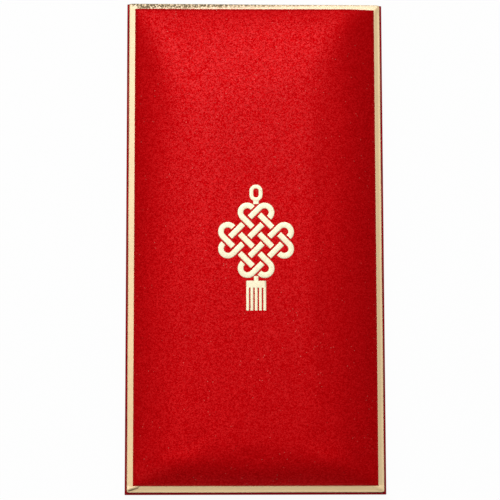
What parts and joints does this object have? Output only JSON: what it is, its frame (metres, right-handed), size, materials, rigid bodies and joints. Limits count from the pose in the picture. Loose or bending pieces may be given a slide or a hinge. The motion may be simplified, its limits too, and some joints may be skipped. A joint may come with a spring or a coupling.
{
  "type": "red envelope",
  "caption": "Tall gift envelope with a padded velour face bound in gold, a pleated pocket for notes and a closing flap folded over the back.",
  "frame": {"origin": "middle of the underside, on the outer face of the closed flap", "axes": "+Z out of the padded face, +Y towards the mouth and the flap fold, +X to the right of someone who looks at the face"},
  "size_m": [0.098, 0.1875, 0.0155],
  "materials": {
    "red_card": "satin",
    "pleat_card": "satin",
    "velour": "matte",
    "padding_foam": "matte",
    "grey_board": "matte",
    "gold_binding": "satin",
    "gold_foil": "gloss",
    "gum": "satin"
  },
  "bodies": {
    "front": {"front_panel": "red_card", "backing_board": "grey_board", "binding_top": "gold_binding", "binding_bottom": "gold_binding", "binding_left": "gold_binding", "binding_right": "gold_binding", "pad_card": "grey_board", "foam_pad": "padding_foam", "face_cover": "velour", "knot_foil": "gold_foil", "loop_foil": "gold_foil", "tassel_foil": "gold_foil"},
    "back": {"back_panel": "red_card"},
    "gusset_left_front": {"gusset_left_front": "pleat_card"},
    "gusset_left_back": {"gusset_left_back": "pleat_card"},
    "gusset_right_front": {"gusset_right_front": "pleat_card"},
    "gusset_right_back": {"gusset_right_back": "pleat_card"},
    "gusset_bottom_front": {"gusset_bottom_front": "pleat_card"},
    "gusset_bottom_back": {"gusset_bottom_back": "pleat_card"},
    "spine": {"top_spine": "red_card"},
    "flap": {"closing_flap": "red_card", "gum_strip": "gum"}
  },
  "joints": [
    {"name": "pocket_press", "type": "slide", "parent": "front", "child": "back", "axis": [0, 0, -1], "range_m": [-0.0032, 0], "stiffness_N_per_m": 400, "springref_m": 0.002},
    {"name": "gusset_left_front_fold", "type": "hinge", "parent": "front", "child": "gusset_left_front", "pos_m": [-0.04875, 0, 0.0067], "axis": [0, 1, 0], "range_deg": [-11.74, 0]},
    {"name": "gusset_left_back_fold", "type": "hinge", "parent": "back", "child": "gusset_left_back", "pos_m": [-0.04875, 0, 0.0012], "axis": [0, -1, 0], "range_deg": [-11.74, 0]},
    {"name": "gusset_right_front_fold", "type": "hinge", "parent": "front", "child": "gusset_right_front", "pos_m": [0.04875, 0, 0.0067], "axis": [0, -1, 0], "range_deg": [-11.74, 0]},
    {"name": "gusset_right_back_fold", "type": "hinge", "parent": "back", "child": "gusset_right_back", "pos_m": [0.04875, 0, 0.0012], "axis": [0, 1, 0], "range_deg": [-11.74, 0]},
    {"name": "gusset_bottom_front_fold", "type": "hinge", "parent": "front", "child": "gusset_bottom_front", "pos_m": [0, -0.0935, 0.0067], "axis": [-1, 0, 0], "range_deg": [-11.74, 0]},
    {"name": "gusset_bottom_back_fold", "type": "hinge", "parent": "back", "child": "gusset_bottom_back", "pos_m": [0, -0.0935, 0.0012], "axis": [1, 0, 0], "range_deg": [-11.74, 0]},
    {"name": "spine_fold", "type": "hinge", "parent": "front", "child": "spine", "pos_m": [0, 0.0935, 0.0067], "axis": [1, 0, 0], "range_deg": [0, 90]},
    {"name": "flap_fold", "type": "hinge", "parent": "spine", "child": "flap", "pos_m": [0, 0.0935, 0.00025], "axis": [1, 0, 0], "range_deg": [0, 135]}
  ],
  "couplings": [
    {"joint": "gusset_left_front_fold", "follows": "pocket_press", "rad_per_m": 63.939},
    {"joint": "gusset_left_back_fold", "follows": "pocket_press", "rad_per_m": 63.939},
    {"joint": "gusset_right_front_fold", "follows": "pocket_press", "rad_per_m": 63.939},
    {"joint": "gusset_right_back_fold", "follows": "pocket_press", "rad_per_m": 63.939},
    {"joint": "gusset_bottom_front_fold", "follows": "pocket_press", "rad_per_m": 63.939},
    {"joint": "gusset_bottom_back_fold", "follows": "pocket_press", "rad_per_m": 63.939}
  ]
}
